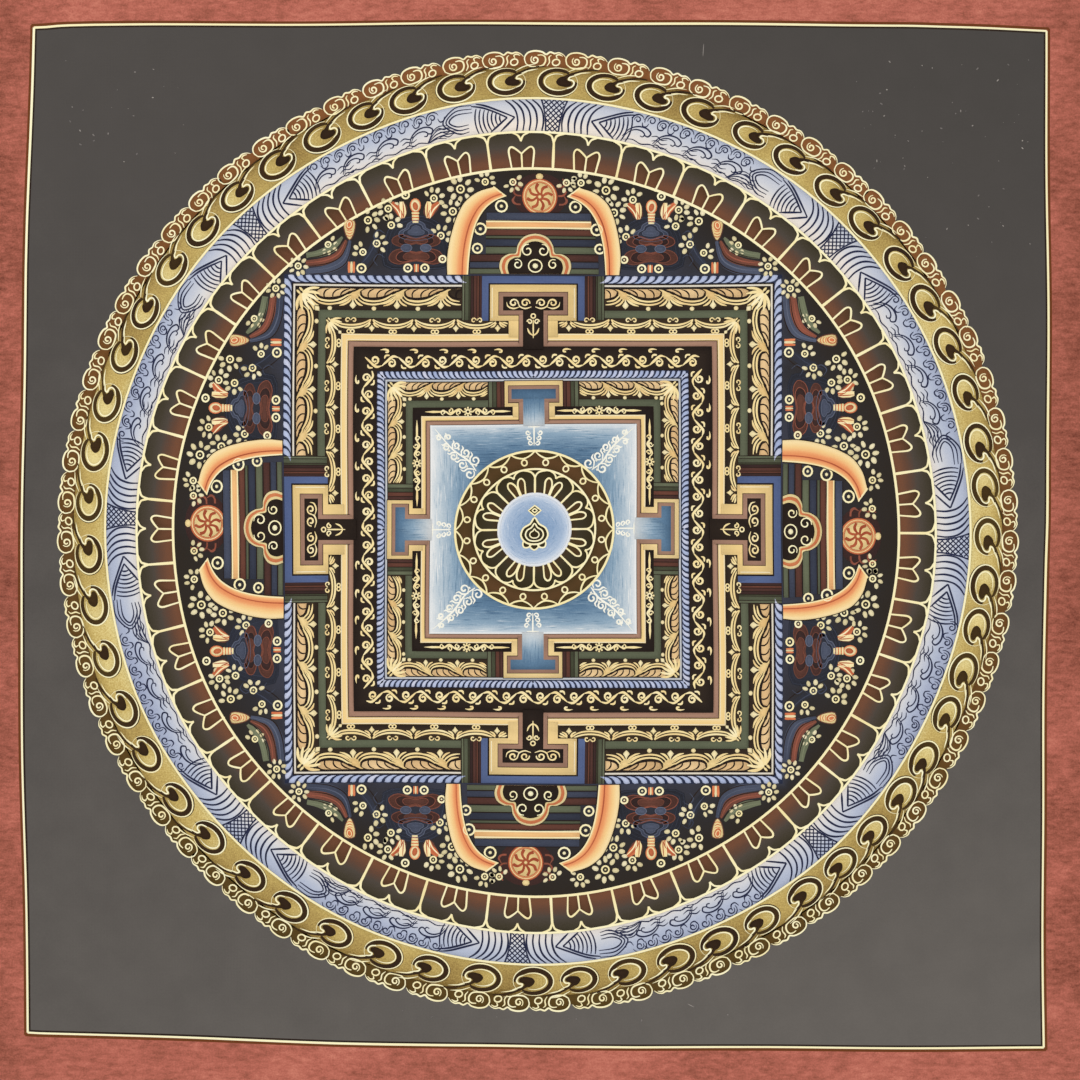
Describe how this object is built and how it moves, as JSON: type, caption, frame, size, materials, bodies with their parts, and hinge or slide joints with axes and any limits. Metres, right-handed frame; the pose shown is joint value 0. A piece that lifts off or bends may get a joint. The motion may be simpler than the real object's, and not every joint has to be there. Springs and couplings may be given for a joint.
{
  "type": "unmounted thangka scroll painting",
  "caption": "Unmounted thangka painting: one square piece of primed cotton canvas laid face up, flat in the middle, with slightly lifted cut edges and a painted mandala.",
  "frame": {"origin": "middle of the underside, on the surface that the canvas lies on", "axes": "+Z out of the painted face, +Y towards the top of the picture, +X to its right as it is looked at"},
  "size_m": [0.47, 0.47, 0.0056],
  "materials": {
    "painted_cotton": "matt mineral paint on primed plain-weave cotton: dark warm grey ground, terracotta margin, thin satin gold line work"
  },
  "bodies": {
    "root": {"painted_canvas": "painted_cotton"}
  },
  "joints": []
}
